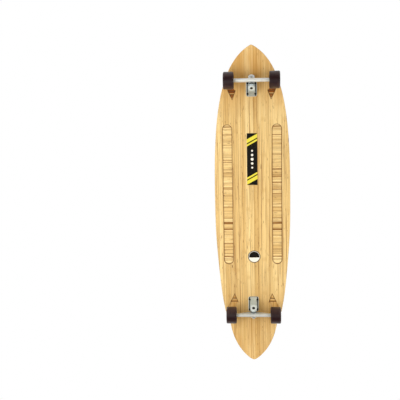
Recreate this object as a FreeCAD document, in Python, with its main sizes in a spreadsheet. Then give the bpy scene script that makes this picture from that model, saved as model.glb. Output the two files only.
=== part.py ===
import FreeCAD, Part
import math
import os
import re
import Sketcher

# Longboard: a laminated bamboo deck on two reverse-kingpin trucks and four wheels.
# Millimetres. The nose points along -Y, +Z is up, and z = 0 is the ground under the wheels.

SIZES = [
    # deck
    ("deck_length", 1676),
    ("deck_width", 394),
    ("face_ply", 4),
    ("cross_ply", 2.5),
    ("core_ply", 5),
    ("edge_round", 3),
    ("front_truck", 617),          # middle of the deck to the front screw pattern
    ("rear_truck", 523),           # middle of the deck to the rear screw pattern
    ("slot_length", 738),
    ("slot_width", 49),
    ("slot_spread", 257),          # between the two slots' centre lines
    ("slot_shift", 65),            # slots' middle, towards the nose
    ("well_depth", 8),
    ("well_ramp", 56),
    ("well_run_out", 12),
    ("well_clearance", 6),         # round the wheel
    ("well_end_inset", 2),         # outboard end, inside the wheel's outline
    ("well_tip_reach", 54),        # tip, inboard of the screw pattern
    ("well_tip_inset", 16),        # tip, inside the wheel's middle plane
    ("well_tip_round", 6),
    # screws through the deck
    ("screw_gauge", 41.3),
    ("screw_pitch", 54),
    ("screw_diameter", 4.8),
    ("screw_clearance", 0.2),
    ("screw_head", 9.6),
    ("screw_sink", 0.2),           # head below the deck's face
    ("screw_tail", 2),
    ("screw_key", 3),
    ("lock_nut_flats", 9.5),
    ("lock_nut_height", 5.5),
    # baseplate
    ("riser", 3),
    ("riser_lip", 1.5),
    ("flange_thickness", 6),
    ("flange_length", 80),
    ("flange_width", 54),
    ("flange_corner", 9),
    ("tower_width", 36),
    ("tower_round", 3),
    ("hollow_width", 22),
    ("hollow_depth", 39.5),
    ("hollow_set_back", 11),       # hollow's mouth, from the flange's inboard end
    ("hollow_mouth_inset", 3),     # hollow's mouth, inboard of the screw pattern's middle
    ("hollow_floor", 9),
    ("hollow_floor_rise", 6),
    ("hollow_wall", 6),
    ("nut_scallop", 13),
    ("pivot_drop", 79),            # deck underside to the end of the pivot boss
    ("boss_diameter", 35),
    ("boss_length", 15),
    ("boss_chamfer", 2.5),
    ("boss_collar", 7),            # tower's flat cheeks, up to this far from the steering axis
    ("relief_hole", 15.5),
    ("cup_diameter", 18),
    ("cup_depth", 13.5),
    ("pivot_reach", 9),            # boss end to the centre of the pivot ball
    ("pivot_ball", 12),
    ("pivot_clearance", 0.3),
    # kingpin stack, on the steering axis
    ("ring_reach", 63.6),          # boss end to the middle of the hanger's ring
    ("ring_diameter", 36),
    ("ring_thickness", 10),
    ("ring_bore", 16),
    ("kingpin_diameter", 9.5),
    ("kingpin_clearance", 0.15),
    ("kingpin_flats", 14.3),
    ("kingpin_head", 6),
    ("kingpin_tail", 3),
    ("head_pocket", 18),
    ("seat_wall", 7),
    ("bushing_diameter", 29),
    ("bushing_round", 1.5),
    ("boardside_bushing", 14),
    ("roadside_bushing", 12),
    ("stack_washer", 2),
    ("base_washer_diameter", 30),
    ("cup_washer_diameter", 32.4),
    ("cup_washer_lip", 2),
    ("kingpin_nut", 8),
    # hanger and axle
    ("axle_drop", 72),             # deck underside to the axle
    ("axle_lead", 41),             # axle, outboard of the screw pattern
    ("axle_diameter", 8),
    ("axle_tail", 1.2),
    ("hanger_width", 200),
    ("hanger_middle", 20),
    ("hanger_end", 19),
    ("gusset_thickness", 11),
    ("gusset_set_back", 3),        # gussets' middle, inboard of the axle
    ("gusset_reach", 82),
    ("gusset_tip", 5),
    ("gusset_knee", 28.8),
    ("gusset_knee_drop", 12),      # knee, below the ring's middle
    ("gusset_gap", 1),             # gussets to the bushings
    ("web_thickness", 24),
    ("web_root", 4),               # web into the ring's side
    ("web_inset", 0.5),            # web inside the ring's faces
    ("web_bar_inset", 0.8),        # web inside the bar
    ("web_knee", 8),
    ("web_clearance", 1),          # web to the cup washer
    ("nose_root", 20),
    ("nose_neck", 4),              # boss to the start of the nose's cone
    ("nose_sink", 2),              # nose into the ring
    # wheels
    ("wheel_diameter", 88),
    ("wheel_width", 54),
    ("wheel_offset", 3),           # tyre's middle, outboard of the bearings' middle
    ("wheel_lip", 58),
    ("tread_round", 6),
    ("lip_round", 2.5),
    ("core_diameter", 48),
    ("core_width", 32),
    ("core_rim", 3.5),
    ("core_web", 12),
    ("core_hub", 29),
    ("core_hub_width", 27),
    ("core_bore", 19),
    ("core_hole", 4.8),
    # bearings
    ("bearing_outside", 22),
    ("bearing_width", 7),
    ("outer_race_bore", 17.8),
    ("inner_race_outside", 12.2),
    ("ball_diameter", 3.97),
    ("ball_circle", 15),
    ("ball_clearance", 0.06),
    ("shield_thickness", 0.4),
    ("shield_inset", 0.2),
    ("shield_bore", 12.8),
    ("spacer_length", 10),
    ("spacer_diameter", 11),
    ("speed_washer", 0.8),
    ("speed_washer_diameter", 11.5),
    ("axle_nut_flats", 12.7),
    ("axle_nut_height", 6),
]

# Half of the deck's outline from nose to tail as spline poles: share of the half width, share of the half
# length. Three poles at full width hold the widest stretch, and the close group behind them makes the wing.
OUTLINE = [
    (0, -1), (0.03, -1), (0.32, -0.96), (0.70, -0.82), (0.93, -0.58),
    (1, -0.28), (1, -0.06), (1, 0.16),
    (0.91, 0.42), (0.84, 0.58), (0.77, 0.66), (0.76, 0.685), (0.66, 0.72), (0.64, 0.745),
    (0.58, 0.83), (0.36, 0.94), (0.07, 1), (0, 1),
]
CORE_HOLES = 6
BALLS = 7
EDGE_TURNS = (0, 30, 60, 90)      # degrees round the deck's rounded edge
OVERCUT = 1

Vector = FreeCAD.Vector
Rotation = FreeCAD.Rotation
Placement = FreeCAD.Placement
UP = Vector(0, 0, 1)
SIDEWAYS = Vector(1, 0, 0)
# The steering axis climbs outboard at 45 degrees, and the kingpin is square to it.
STEERING = Vector(0, math.sqrt(0.5), math.sqrt(0.5))
KINGPIN = Vector(0, math.sqrt(0.5), -math.sqrt(0.5))
SLANT = "sqrt(0.5)"

doc = FreeCAD.newDocument("longboard")
sheet = doc.addObject("Spreadsheet::Sheet", "Dims")
for row, (alias, number) in enumerate(SIZES, start=1):
    sheet.set(f"A{row}", alias)
    sheet.set(f"B{row}", str(number))
    sheet.setAlias(f"B{row}", alias)
doc.recompute()
ALIASES = {alias for alias, number in SIZES}

# Expressions that several pieces share
DECK_THICKNESS = "(2 * face_ply + 2 * cross_ply + core_ply)"
UNDERSIDE = "(wheel_diameter / 2 + axle_drop)"
FLANGE_FACE = "(riser + flange_thickness)"
BEARING_MIDDLE = "(hanger_width / 2 + speed_washer + bearing_width + spacer_length / 2)"
WHEEL_MIDDLE = f"({BEARING_MIDDLE} + wheel_offset)"
BEARING_SIDE = "(spacer_length / 2 + bearing_width / 2)"
STACK_SEAT = "(ring_thickness / 2 + boardside_bushing + stack_washer)"
STACK_FOOT = "(ring_thickness / 2 + roadside_bushing + stack_washer)"
GROOVE = "(ball_diameter / 2 + ball_clearance)"
SCREW_HOLE = "screw_diameter + 2 * screw_clearance"
KINGPIN_BORE = "kingpin_diameter / 2 + kingpin_clearance"
AXLE_NUT_START = "(hanger_width / 2 + 2 * speed_washer + 2 * bearing_width + spacer_length)"


def tie(expression):
    """The expression with each size's name pointed at its cell."""
    return re.sub(r"[a-z]\w*", lambda word: "Dims." + word[0] if word[0] in ALIASES else word[0], expression)


def size(expression):
    return float(sheet.evalExpression(tie(expression)))


def bind(thing, **sizes):
    for name, expression in sizes.items():
        thing.setExpression(name, tie(expression))


def at(point, direction=UP):
    """A placement at a point with its own Z along a direction."""
    return Placement(point, Rotation(UP, direction))


def new_body(label):
    return doc.addObject("PartDesign::Body", label)


def new_sketch(body, role, name, offset=None):
    sketch = body.newObject("Sketcher::SketchObject", name)
    plane = next(item for item in body.Origin.OriginFeatures if item.Role == role)
    sketch.AttachmentSupport = (plane, [""])
    sketch.MapMode = "FlatFace"
    if offset:
        sketch.setExpression("AttachmentOffset.Base.z", tie(offset))
    return sketch


def pin(sketch, geometry, vertex, across, along):
    """Holds one vertex of a sketch at a pair of expressions from the origin."""
    for kind, expression in (("DistanceX", across), ("DistanceY", along)):
        rule = sketch.addConstraint(Sketcher.Constraint(kind, -1, 1, geometry, vertex, size(expression)))
        sketch.setExpression(f"Constraints[{rule}]", tie(expression))


def add_polygon(sketch, corners):
    points = [Vector(size(across), size(along), 0) for across, along in corners]
    count = len(points)
    lines = [sketch.addGeometry(Part.LineSegment(points[i], points[(i + 1) % count])) for i in range(count)]
    for i, line in enumerate(lines):
        sketch.addConstraint(Sketcher.Constraint("Coincident", line, 2, lines[(i + 1) % count], 1))
        pin(sketch, line, 1, *corners[i])


def polygon(body, role, name, corners, offset=None):
    sketch = new_sketch(body, role, name, offset)
    add_polygon(sketch, corners)
    return sketch


def circles(body, role, name, centres, diameter):
    sketch = new_sketch(body, role, name)
    for across, along in centres:
        circle = Part.Circle(Vector(size(across), size(along), 0), UP, size(diameter) / 2)
        ring = sketch.addGeometry(circle)
        pin(sketch, ring, 3, across, along)
        rule = sketch.addConstraint(Sketcher.Constraint("Diameter", ring, size(diameter)))
        sketch.setExpression(f"Constraints[{rule}]", tie(diameter))
    return sketch


def pad(body, sketch, length, symmetric=False):
    feature = body.newObject("PartDesign::Pad", sketch.Name + "_pad")
    feature.Profile = sketch
    feature.SideType = "Symmetric" if symmetric else "One side"
    bind(feature, Length=length)
    return feature


def pocket_through(body, sketch):
    feature = body.newObject("PartDesign::Pocket", sketch.Name + "_pocket")
    feature.Profile = sketch
    feature.SideType = "Symmetric"
    feature.Type = "ThroughAll"
    return feature


def revolve(body, sketch):
    """Turns an XZ profile about the body's own X axis."""
    feature = body.newObject("PartDesign::Revolution", sketch.Name + "_turn")
    feature.Profile = sketch
    feature.ReferenceAxis = (sketch, ["H_Axis"])
    return feature


def primitive(body, kind, place, **sizes):
    feature = body.newObject("PartDesign::" + kind, kind)
    bind(feature, **sizes)
    feature.Placement = place
    return feature


def hexagon(body, kind, place, flats, height):
    feature = primitive(body, kind, place, Circumradius=f"{flats} / sqrt(3)", Height=height)
    feature.Polygon = 6
    return feature


def round_edges(body, radius, chosen):
    """Rounds the edges of the body's last feature that the test picks."""
    doc.recompute()
    base = body.Tip
    names = [f"Edge{i}" for i, edge in enumerate(base.Shape.Edges, start=1) if chosen(edge)]
    feature = body.newObject("PartDesign::Fillet", "round")
    feature.Base = (base, names)
    bind(feature, Radius=radius)
    return feature


def group(label, master, places):
    """Copies of one piece at several places, as one node."""
    copies = []
    for place in places:
        copy = doc.addObject("App::Link", label + "_copy")
        copy.LinkedObject = master
        copy.Placement = place
        copies.append(copy)
    gathered = doc.addObject("Part::Compound", label)
    gathered.Links = copies
    return gathered


# Deck

def outline_sketch(body, height, inset="0"):
    """Half of the deck's outline, closed along the middle line."""
    sketch = new_sketch(body, "XY_Plane", "outline", height)
    poles = [(f"(deck_width / 2 - {inset}) * {across}", f"(deck_length / 2 - {inset}) * {along}")
             for across, along in OUTLINE]
    degree = 3
    spans = len(poles) - degree
    curve = Part.BSplineCurve()
    curve.buildFromPolesMultsKnots(
        [Vector(size(across), size(along), 0) for across, along in poles],
        [degree + 1] + [1] * (spans - 1) + [degree + 1],
        list(range(spans + 1)), False, degree)
    spline = sketch.addGeometry(curve)
    sketch.exposeInternalGeometry(spline)
    for i, (across, along) in enumerate(poles, start=1):
        pin(sketch, spline + i, 3, across, along)
    tail = curve.EndPoint
    nose = curve.StartPoint
    middle = sketch.addGeometry(Part.LineSegment(tail, nose))
    sketch.addConstraint(Sketcher.Constraint("Coincident", spline, 2, middle, 1))
    sketch.addConstraint(Sketcher.Constraint("Coincident", middle, 2, spline, 1))
    return sketch


def screw_spots():
    """Sketch places of the eight deck screws."""
    spots = []
    for truck in ("-front_truck", "rear_truck"):
        for side in ("-", ""):
            for end in ("-", "+"):
                spots.append((f"{side}screw_gauge / 2", f"{truck} {end} screw_pitch / 2"))
    return spots


def both_halves(body, features):
    whole = body.newObject("PartDesign::Mirrored", "both_halves")
    whole.Originals = features
    whole.MirrorPlane = (features[0].Profile[0], ["V_Axis"])
    whole.Refine = True
    body.Tip = whole


def ply(label, thickness, height):
    body = new_body(label)
    both_halves(body, [pad(body, outline_sketch(body, "0"), thickness)])
    body.setExpression("Placement.Base.z", tie(height))
    return body


def face_ply(label, height, inner_face, outer_face):
    """Outer ply between two levels of its own, with a rounded edge at its outer face."""
    body = new_body(label)
    way = 1 if size(outer_face) > size(inner_face) else -1
    start = inner_face if way > 0 else f"{outer_face} + edge_round"
    slab = pad(body, outline_sketch(body, start), "face_ply - edge_round")
    sections = []
    for turn in EDGE_TURNS:
        inset = f"edge_round * {1 - math.cos(math.radians(turn)):.6f}"
        sink = f"edge_round * {1 - math.sin(math.radians(turn)):.6f}"
        sections.append(outline_sketch(body, f"{outer_face} - {way} * {sink}", inset))
    edge = body.newObject("PartDesign::AdditiveLoft", "rounded_edge")
    edge.Profile = sections[0]
    edge.Sections = sections[1:]
    edge.Ruled = True
    both_halves(body, [slab, edge])
    body.setExpression("Placement.Base.z", tie(height))
    return body


def drill(body):
    spots = circles(body, "XY_Plane", "screw_holes", screw_spots(), SCREW_HOLE)
    pocket_through(body, spots)


def sink_heads(body):
    for across, along in screw_spots():
        top = Vector(size(across), size(along), size("face_ply"))
        cone_height = "(screw_head - screw_diameter) / 2 + screw_sink"
        primitive(body, "SubtractiveCone", at(top - UP * size(cone_height)),
                  Radius1="screw_diameter / 2 + screw_clearance",
                  Radius2="screw_head / 2 + screw_sink + screw_clearance", Height=cone_height)


def cut_slots(body):
    for side in (-1, 1):
        for end in (-1, 1):
            middle = Vector(side * size("slot_spread") / 2, -size("slot_shift"), 0)
            turn = Vector(0, end * size("(slot_length - slot_width) / 2"), 0)
            primitive(body, "SubtractiveCylinder", at(middle + turn),
                      Radius="slot_width / 2", Height="face_ply")
        corner = middle - Vector(size("slot_width") / 2, size("(slot_length - slot_width) / 2"), 0)
        primitive(body, "SubtractiveBox", at(corner), Length="slot_width",
                  Width="slot_length - slot_width", Height="face_ply")


def well_cutter(label, place):
    """Ramped dart over each wheel of a truck, to be cut from the underside."""
    shoulder = "axle_lead - wheel_diameter / 2 - well_clearance"
    far_end = "axle_lead + wheel_diameter / 2 - well_end_inset"
    tip = f"{WHEEL_MIDDLE} - well_tip_inset"
    inside = f"{WHEEL_MIDDLE} - wheel_width / 2 - well_clearance"
    under = f"{WHEEL_MIDDLE} - wheel_width / 2 + well_clearance"
    # The outer wall passes the wheel's outer face at the axle and runs straight on through the deck's edge.
    flare = "(wheel_diameter / 2 - well_end_inset) / (wheel_diameter / 2 + well_clearance)"
    outside = f"{WHEEL_MIDDLE} + well_clearance + wheel_width / 2 * (1 + {flare})"
    prisms = []
    for side in ("-", ""):
        prism = new_body(label + "_dart")
        corners = [(tip, "-well_tip_reach"), (inside, shoulder), (under, f"{shoulder} + 2 * well_clearance"),
                   (under, far_end), (outside, far_end), (f"{WHEEL_MIDDLE} + well_clearance", shoulder)]
        placed = [(f"{side}({across})", along) for across, along in corners]
        dart = polygon(prism, "XY_Plane", "dart", placed, f"-{OVERCUT}")
        pad(prism, dart, f"well_depth + 2 * {OVERCUT}")
        round_edges(prism, "well_tip_round", lambda edge: edge.BoundBox.ZLength > size("well_depth")
                    and edge.BoundBox.YMax < size(shoulder) - OVERCUT)
        prisms.append(prism)
    slope = new_body(label + "_slope")
    corners = [("-well_tip_reach", f"-{OVERCUT}"), ("-well_tip_reach", "0"),
               ("well_ramp - well_tip_reach", "well_depth"), (f"{far_end} - well_run_out", "well_depth"),
               (far_end, "0"), (far_end, f"-{OVERCUT}")]
    pad(slope, polygon(slope, "YZ_Plane", "ramp", corners), "deck_width", symmetric=True)
    both = doc.addObject("Part::Compound", label + "_darts")
    both.Links = prisms
    cutter = doc.addObject("Part::Common", label)
    cutter.Base = both
    cutter.Tool = slope
    cutter.Placement = place
    return cutter


def cut_from(label, body, cutters):
    tool = doc.addObject("Part::Compound", label + "_wells")
    tool.Links = cutters
    cut = doc.addObject("Part::Cut", label)
    cut.Base = body
    cut.Tool = tool
    return cut


# Trucks, in a frame of their own: +Y outboard, z = 0 on the deck's underside, the screw pattern at the middle

def steering_point(distance):
    """A point of the steering axis, measured from the end of the pivot boss."""
    return Vector(0, 0, -size("pivot_drop")) + STEERING * size(distance)


def screw_corners():
    return [(side * size("screw_gauge") / 2, end * size("screw_pitch") / 2)
            for side in (-1, 1) for end in (-1, 1)]


def plate(label, length, width, corner, top, thickness):
    """Flat plate with round corners and the four screw holes, its top face at a given height."""
    body = new_body(label)
    corners = [(f"-({width}) / 2", f"-({length}) / 2"), (f"({width}) / 2", f"-({length}) / 2"),
               (f"({width}) / 2", f"({length}) / 2"), (f"-({width}) / 2", f"({length}) / 2")]
    pad(body, polygon(body, "XY_Plane", "plate", corners, f"{top} - {thickness}"), thickness)
    round_edges(body, corner, lambda edge: edge.BoundBox.ZLength > size(thickness) / 2)
    return body


def drill_plate(body):
    spots = [(f"{side}screw_gauge / 2", f"{end}screw_pitch / 2") for side in ("-", "") for end in ("-", "")]
    pocket_through(body, circles(body, "XY_Plane", "screw_holes", spots, SCREW_HOLE))


def riser_pad(label):
    body = plate(label, "flange_length + 2 * riser_lip", "flange_width + 2 * riser_lip",
                 "flange_corner + riser_lip", "0", "riser")
    drill_plate(body)
    return body


def baseplate(label):
    body = plate(label, "flange_length", "flange_width", "flange_corner", "-riser", "flange_thickness")
    root = f"-({FLANGE_FACE} - {OVERCUT})"
    boss = "boss_diameter / 2"
    tower = [
        ("-flange_length / 2", root),
        (f"-{boss} * {SLANT}", f"-pivot_drop + {boss} * {SLANT}"),
        (f"-boss_collar * {SLANT}", f"-pivot_drop + boss_collar * {SLANT}"),
        (f"(boss_length - boss_collar) * {SLANT}", f"-pivot_drop + (boss_length + boss_collar) * {SLANT}"),
        (f"(boss_length - {STACK_SEAT}) * {SLANT}", f"-pivot_drop + (boss_length + {STACK_SEAT}) * {SLANT}"),
        (f"pivot_drop - {STACK_SEAT} / {SLANT} - {FLANGE_FACE} + {OVERCUT}", root),
    ]
    pad(body, polygon(body, "YZ_Plane", "tower", tower), "tower_width", symmetric=True)
    ramp_top = size(f"-pivot_drop + {boss} * {SLANT}")
    round_edges(body, "tower_round", lambda edge: edge.BoundBox.XLength < 1e-4
                and abs(abs(edge.CenterOfMass.x) - size("tower_width") / 2) < 1e-4
                and edge.BoundBox.ZMin < ramp_top + OVERCUT and edge.BoundBox.YMax < 0)
    primitive(body, "AdditiveCylinder", at(steering_point("boss_chamfer"), STEERING),
              Radius=boss, Height="boss_length - boss_chamfer")
    primitive(body, "AdditiveCone", at(steering_point("0"), STEERING), Radius1=f"{boss} - boss_chamfer",
              Radius2=boss, Height="boss_chamfer")
    primitive(body, "SubtractiveCylinder", at(steering_point("-boss_length"), STEERING),
              Radius="relief_hole / 2", Height="2 * boss_length")
    primitive(body, "SubtractiveCylinder", at(steering_point("boss_length - cup_depth"), STEERING),
              Radius="cup_diameter / 2", Height="cup_depth + boss_length")
    ring = steering_point("ring_reach")
    primitive(body, "SubtractiveCylinder", at(ring, -KINGPIN),
              Radius=KINGPIN_BORE, Height=f"{STACK_SEAT} + 2 * seat_wall")
    primitive(body, "SubtractiveCylinder", at(ring - KINGPIN * size(f"{STACK_SEAT} + seat_wall"), -KINGPIN),
              Radius="head_pocket / 2", Height="pivot_drop")
    floor_start = f"-{boss} * {SLANT} - hollow_wall"
    hollow = [
        ("-flange_length / 2 + hollow_set_back", f"-riser + {OVERCUT}"),
        (floor_start, "-hollow_depth"),
        (f"{floor_start} + hollow_floor", "-hollow_depth + hollow_floor_rise"),
        ("-hollow_mouth_inset", f"-riser + {OVERCUT}"),
    ]
    sketch = polygon(body, "YZ_Plane", "hollow", hollow)
    cut = body.newObject("PartDesign::Pocket", "hollow_pocket")
    cut.Profile = sketch
    cut.SideType = "Symmetric"
    bind(cut, Length="hollow_width")
    for across, along in screw_corners():
        primitive(body, "SubtractiveCylinder", at(Vector(across, along, -size(FLANGE_FACE)), -UP),
                  Radius="nut_scallop / 2", Height="pivot_drop")
    drill_plate(body)
    return body


def pivot_cup(label):
    """Urethane socket, its own Z along the steering axis."""
    body = new_body(label)
    primitive(body, "AdditiveCylinder", at(UP * size("boss_length - cup_depth")),
              Radius="cup_diameter / 2", Height="cup_depth")
    ball = at(UP * size("pivot_reach"))
    primitive(body, "SubtractiveSphere", ball, Radius="pivot_ball / 2 + pivot_clearance")
    primitive(body, "SubtractiveCylinder", ball,
              Radius="pivot_ball / 2 + pivot_clearance", Height="boss_length")
    return body


def kingpin(label):
    body = new_body(label)
    seat = f"{STACK_SEAT} + seat_wall"
    hexagon(body, "AdditivePrism", at(-UP * size(f"{seat} + kingpin_head")), "kingpin_flats", "kingpin_head")
    primitive(body, "AdditiveCylinder", at(-UP * size(seat)), Radius="kingpin_diameter / 2",
              Height=f"{seat} + {STACK_FOOT} + kingpin_nut + kingpin_tail")
    return body


def bored(body, bore, place, height):
    primitive(body, "SubtractiveCylinder", place, Radius=bore, Height=height)
    return body


def bushing(label, start, height):
    body = new_body(label)
    primitive(body, "AdditiveCylinder", at(UP * size(start)), Radius="bushing_diameter / 2", Height=height)
    round_edges(body, "bushing_round", lambda edge: edge.BoundBox.ZLength < 1e-4)
    return bored(body, KINGPIN_BORE, at(UP * size(start)), height)


def base_washer(label):
    body = new_body(label)
    place = at(-UP * size(STACK_SEAT))
    primitive(body, "AdditiveCylinder", place, Radius="base_washer_diameter / 2", Height="stack_washer")
    return bored(body, KINGPIN_BORE, place, "stack_washer")


def cup_washer(label):
    """Washer with a lip that holds the end of the roadside bushing."""
    body = new_body(label)
    place = at(UP * size(f"{STACK_FOOT} - stack_washer - cup_washer_lip"))
    primitive(body, "AdditiveCylinder", place, Radius="cup_washer_diameter / 2",
              Height="stack_washer + cup_washer_lip")
    primitive(body, "SubtractiveCylinder", place, Radius="bushing_diameter / 2 + kingpin_clearance",
              Height="cup_washer_lip")
    return bored(body, KINGPIN_BORE, place, "stack_washer + cup_washer_lip")


def kingpin_nut(label):
    body = new_body(label)
    place = at(UP * size(STACK_FOOT))
    hexagon(body, "AdditivePrism", place, "kingpin_flats", "kingpin_nut")
    return bored(body, "kingpin_diameter / 2", place, "kingpin_nut")


def stack_corner(reach, drop):
    """Sketch place at a distance along the steering axis and one along the kingpin, from the ring."""
    outboard = f"(ring_reach + {reach} + {drop}) * {SLANT}"
    height = f"-pivot_drop + (ring_reach + {reach} - ({drop})) * {SLANT}"
    return outboard, height


def hanger(label):
    body = new_body(label)
    axle = Vector(0, size("axle_lead"), -size("axle_drop"))
    # tapered bar round the axle
    for side in (-1, 1):
        primitive(body, "AdditiveCone", at(axle, SIDEWAYS * side), Radius1="hanger_middle / 2",
                  Radius2="hanger_end / 2", Height="hanger_width / 2")
    # gussets from the bar's ends to the sides of the ring
    inner = "(bushing_diameter / 2 + gusset_gap)"
    ring_height = f"-pivot_drop + ring_reach * {SLANT}"
    for side in ("-", ""):
        wing = [(f"{side}{inner}", "-axle_drop"), (f"{side}gusset_reach", "-axle_drop"),
                (f"{side}gusset_reach", "-axle_drop + gusset_tip"),
                (f"{side}gusset_knee", f"{ring_height} - gusset_knee_drop"),
                (f"{side}{inner}", f"{ring_height} - ring_thickness / 2")]
        sketch = polygon(body, "XZ_Plane", "wing", wing, "gusset_set_back - axle_lead")
        pad(body, sketch, "gusset_thickness", symmetric=True)
    # web from the ring to the bar, clear of the roadside bushing and its washer
    ring_side = "-(ring_diameter / 2 - web_root)"
    outer = "-(cup_washer_diameter / 2 + web_clearance)"
    face = "(ring_thickness / 2 - web_inset)"
    bar_reach = f"((axle_lead - axle_drop + pivot_drop) * {SLANT} - ring_reach)"
    bar_drop = f"((axle_lead + axle_drop - pivot_drop) * {SLANT})"
    web = [stack_corner(ring_side, f"-{face}"),
           stack_corner(ring_side, face),
           stack_corner(outer, face),
           stack_corner(f"{bar_reach} + hanger_middle / 2 - web_bar_inset", bar_drop),
           stack_corner(f"{bar_reach} - hanger_middle / 2 + web_bar_inset", bar_drop),
           stack_corner(f"{bar_reach} - hanger_middle / 2", "web_knee"),
           stack_corner(f"{bar_reach} - web_root", f"-{face}")]
    pad(body, polygon(body, "YZ_Plane", "web", web), "web_thickness", symmetric=True)
    # ring, pivot nose and ball on the steering axis
    ring = steering_point("ring_reach")
    half_ring = size("ring_thickness") / 2
    primitive(body, "AdditiveCylinder", at(ring - KINGPIN * half_ring, KINGPIN),
              Radius="ring_diameter / 2", Height="ring_thickness")
    neck = "(boss_length + nose_neck)"
    nose_end = "(ring_reach - ring_diameter / 2 + nose_sink)"
    primitive(body, "AdditiveCone", at(steering_point(neck), STEERING), Radius1="pivot_ball / 2",
              Radius2="nose_root / 2", Height=f"{nose_end} - {neck}")
    primitive(body, "AdditiveCylinder", at(steering_point("pivot_reach"), STEERING), Radius="pivot_ball / 2",
              Height=f"{neck} - pivot_reach")
    primitive(body, "AdditiveSphere", at(steering_point("pivot_reach")), Radius="pivot_ball / 2")
    primitive(body, "SubtractiveCylinder", at(ring - KINGPIN * half_ring, KINGPIN),
              Radius="ring_bore / 2", Height="ring_thickness")
    primitive(body, "SubtractiveCylinder", at(axle - SIDEWAYS * size("hanger_width") / 2, SIDEWAYS),
              Radius="axle_diameter / 2", Height="hanger_width")
    return body


def axle(label):
    body = new_body(label)
    half = f"{AXLE_NUT_START} + axle_nut_height + axle_tail"
    primitive(body, "AdditiveCylinder", at(-SIDEWAYS * size(half), SIDEWAYS),
              Radius="axle_diameter / 2", Height=f"2 * ({half})")
    return body


# Masters of the pieces that repeat inside one node, each about its own middle or seat

def screw_master():
    body = new_body("screw")
    head = "(screw_head - screw_diameter) / 2"
    length = (f"{DECK_THICKNESS} - screw_sink + riser + flange_thickness + lock_nut_height + screw_tail")
    primitive(body, "AdditiveCylinder", at(-UP * size(length)), Radius="screw_diameter / 2", Height=length)
    primitive(body, "AdditiveCone", at(-UP * size(head)), Radius1="screw_diameter / 2",
              Radius2="screw_head / 2", Height=head)
    hexagon(body, "SubtractivePrism", at(-UP * size(head)), "screw_key", head)
    return body


def nut_master(label, flats, height, bore):
    body = new_body(label)
    hexagon(body, "AdditivePrism", at(Vector()), flats, height)
    return bored(body, bore, at(Vector()), height)


def sleeve_master(label, outside, bore, length):
    """Plain ring about its own Z, from z = 0."""
    body = new_body(label)
    primitive(body, "AdditiveCylinder", at(Vector()), Radius=f"{outside} / 2", Height=length)
    return bored(body, f"{bore} / 2", at(Vector()), length)


def race_master(label, outside, bore):
    """Bearing race about its own Z, its ball groove at z = 0."""
    body = new_body(label)
    foot = at(-UP * size("bearing_width") / 2)
    primitive(body, "AdditiveCylinder", foot, Radius=f"{outside} / 2", Height="bearing_width")
    bored(body, f"{bore} / 2", foot, "bearing_width")
    primitive(body, "SubtractiveTorus", at(Vector()), Radius1="ball_circle / 2", Radius2=GROOVE)
    return body


def ball_master():
    ball = doc.addObject("Part::Sphere", "ball")
    bind(ball, Radius="ball_diameter / 2")
    return ball


# Wheels, about their own X, with x = 0 midway between the bearings

def tyre(label):
    body = new_body(label)
    inside = "wheel_offset - wheel_width / 2"
    outside = "wheel_offset + wheel_width / 2"
    profile = [("-core_width / 2", "core_diameter / 2"), (inside, "wheel_lip / 2"),
               (inside, "wheel_diameter / 2"), (outside, "wheel_diameter / 2"),
               (outside, "wheel_lip / 2"), ("core_width / 2", "core_diameter / 2")]
    revolve(body, polygon(body, "XZ_Plane", "section", profile))
    tread = size("wheel_diameter") / 2
    lip = size("wheel_lip") / 2
    round_edges(body, "tread_round", lambda edge: is_ring(edge, tread))
    round_edges(body, "lip_round", lambda edge: is_ring(edge, lip))
    return body


def is_ring(edge, radius):
    return hasattr(edge.Curve, "Radius") and abs(edge.Curve.Radius - radius) < 1e-4


def core(label):
    body = new_body(label)
    rim = "core_diameter / 2 - core_rim"
    right = [("core_width / 2", "core_diameter / 2"), ("core_width / 2", rim), ("core_web / 2", rim),
             ("core_web / 2", "core_hub / 2"), ("core_hub_width / 2", "core_hub / 2"),
             ("core_hub_width / 2", "bearing_outside / 2"), ("spacer_length / 2", "bearing_outside / 2"),
             ("spacer_length / 2", "core_bore / 2")]
    left = [(f"-{across}", radius) for across, radius in reversed(right)]
    revolve(body, polygon(body, "XZ_Plane", "section", right + left))
    circle = f"({rim} + core_hub / 2) / 2"
    turns = [2 * math.pi * i / CORE_HOLES for i in range(CORE_HOLES)]
    spots = [(f"({circle}) * {math.cos(turn):.6f}", f"({circle}) * {math.sin(turn):.6f}") for turn in turns]
    pocket_through(body, circles(body, "YZ_Plane", "holes", spots, "core_hole"))
    return body


def in_truck(body, place, local=None):
    body.Placement = place * local if local else place
    return body


nodes = []
wheels_across = size(BEARING_MIDDLE)
underside = size(UNDERSIDE)
deck_top = size(f"{UNDERSIDE} + {DECK_THICKNESS}")
trucks = {
    "front": Placement(Vector(0, -size("front_truck"), underside), Rotation(UP, 180)),
    "rear": Placement(Vector(0, size("rear_truck"), underside), Rotation()),
}

# Deck plies from the bottom up
bottom = face_ply("bottom_blank", UNDERSIDE, "face_ply", "0")
drill(bottom)
cut_slots(bottom)
lower = ply("lower_cross_blank", "cross_ply", f"{UNDERSIDE} + face_ply")
drill(lower)
middle = ply("core_blank", "core_ply", f"{UNDERSIDE} + face_ply + cross_ply")
drill(middle)
upper = ply("deck_upper_crossband", "cross_ply", f"{UNDERSIDE} + face_ply + cross_ply + core_ply")
drill(upper)
top = face_ply("deck_top_ply", f"{UNDERSIDE} + face_ply + 2 * cross_ply + core_ply", "0", "face_ply")
drill(top)
sink_heads(top)
cutters = [well_cutter(name + "_well", place) for name, place in trucks.items()]
nodes += [cut_from("deck_bottom_ply", bottom, cutters), cut_from("deck_lower_crossband", lower, cutters),
          cut_from("deck_core_ply", middle, cutters), upper, top]

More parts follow.
